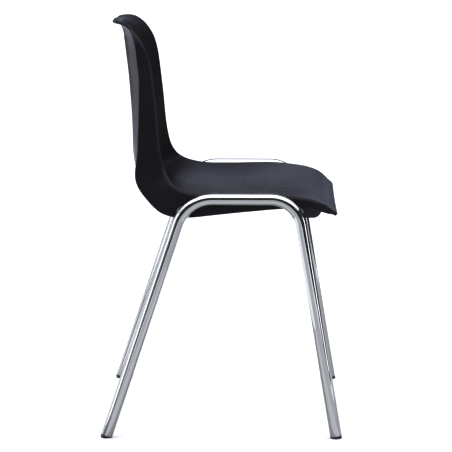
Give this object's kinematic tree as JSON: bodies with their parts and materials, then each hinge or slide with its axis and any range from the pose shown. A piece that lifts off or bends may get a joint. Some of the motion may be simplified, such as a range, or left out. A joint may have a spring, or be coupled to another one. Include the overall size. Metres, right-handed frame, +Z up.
{
  "type": "stacking chair",
  "caption": "Stacking chair with a dished black moulded shell, rolled top edge and turned-down sides, on a welded frame of bent chromed tube with plastic foot plugs.",
  "frame": {"origin": "on the floor, in the middle of the rectangle that the feet span", "axes": "+Z up, -Y the way a sitter faces, +X the sitter's left"},
  "size_m": [0.532, 0.4635, 0.7845],
  "materials": {
    "shell_plastic": "black moulded polypropylene with a fine satin grain",
    "chrome": "bright chrome plating on steel tube",
    "black_nylon": "black moulded nylon, lightly textured",
    "fastener_steel": "zinc-plated steel",
    "insert_brass": "plain brass"
  },
  "bodies": {
    "root": {"buffer_front_left": "black_nylon", "buffer_front_right": "black_nylon", "buffer_rear_left": "black_nylon", "buffer_rear_right": "black_nylon", "cross_tube_front": "chrome", "cross_tube_rear": "chrome", "foot_plug_front_left": "black_nylon", "foot_plug_front_right": "black_nylon", "foot_plug_rear_left": "black_nylon", "foot_plug_rear_right": "black_nylon", "frame_welds": "chrome", "mounting_screws": "fastener_steel", "mounting_tab_front_left": "chrome", "mounting_tab_front_right": "chrome", "mounting_tab_rear_left": "chrome", "mounting_tab_rear_right": "chrome", "seat_shell": "shell_plastic", "side_frame_left": "chrome", "side_frame_right": "chrome", "tab_welds": "chrome", "threaded_inserts": "insert_brass", "washers": "fastener_steel"}
  },
  "joints": []
}
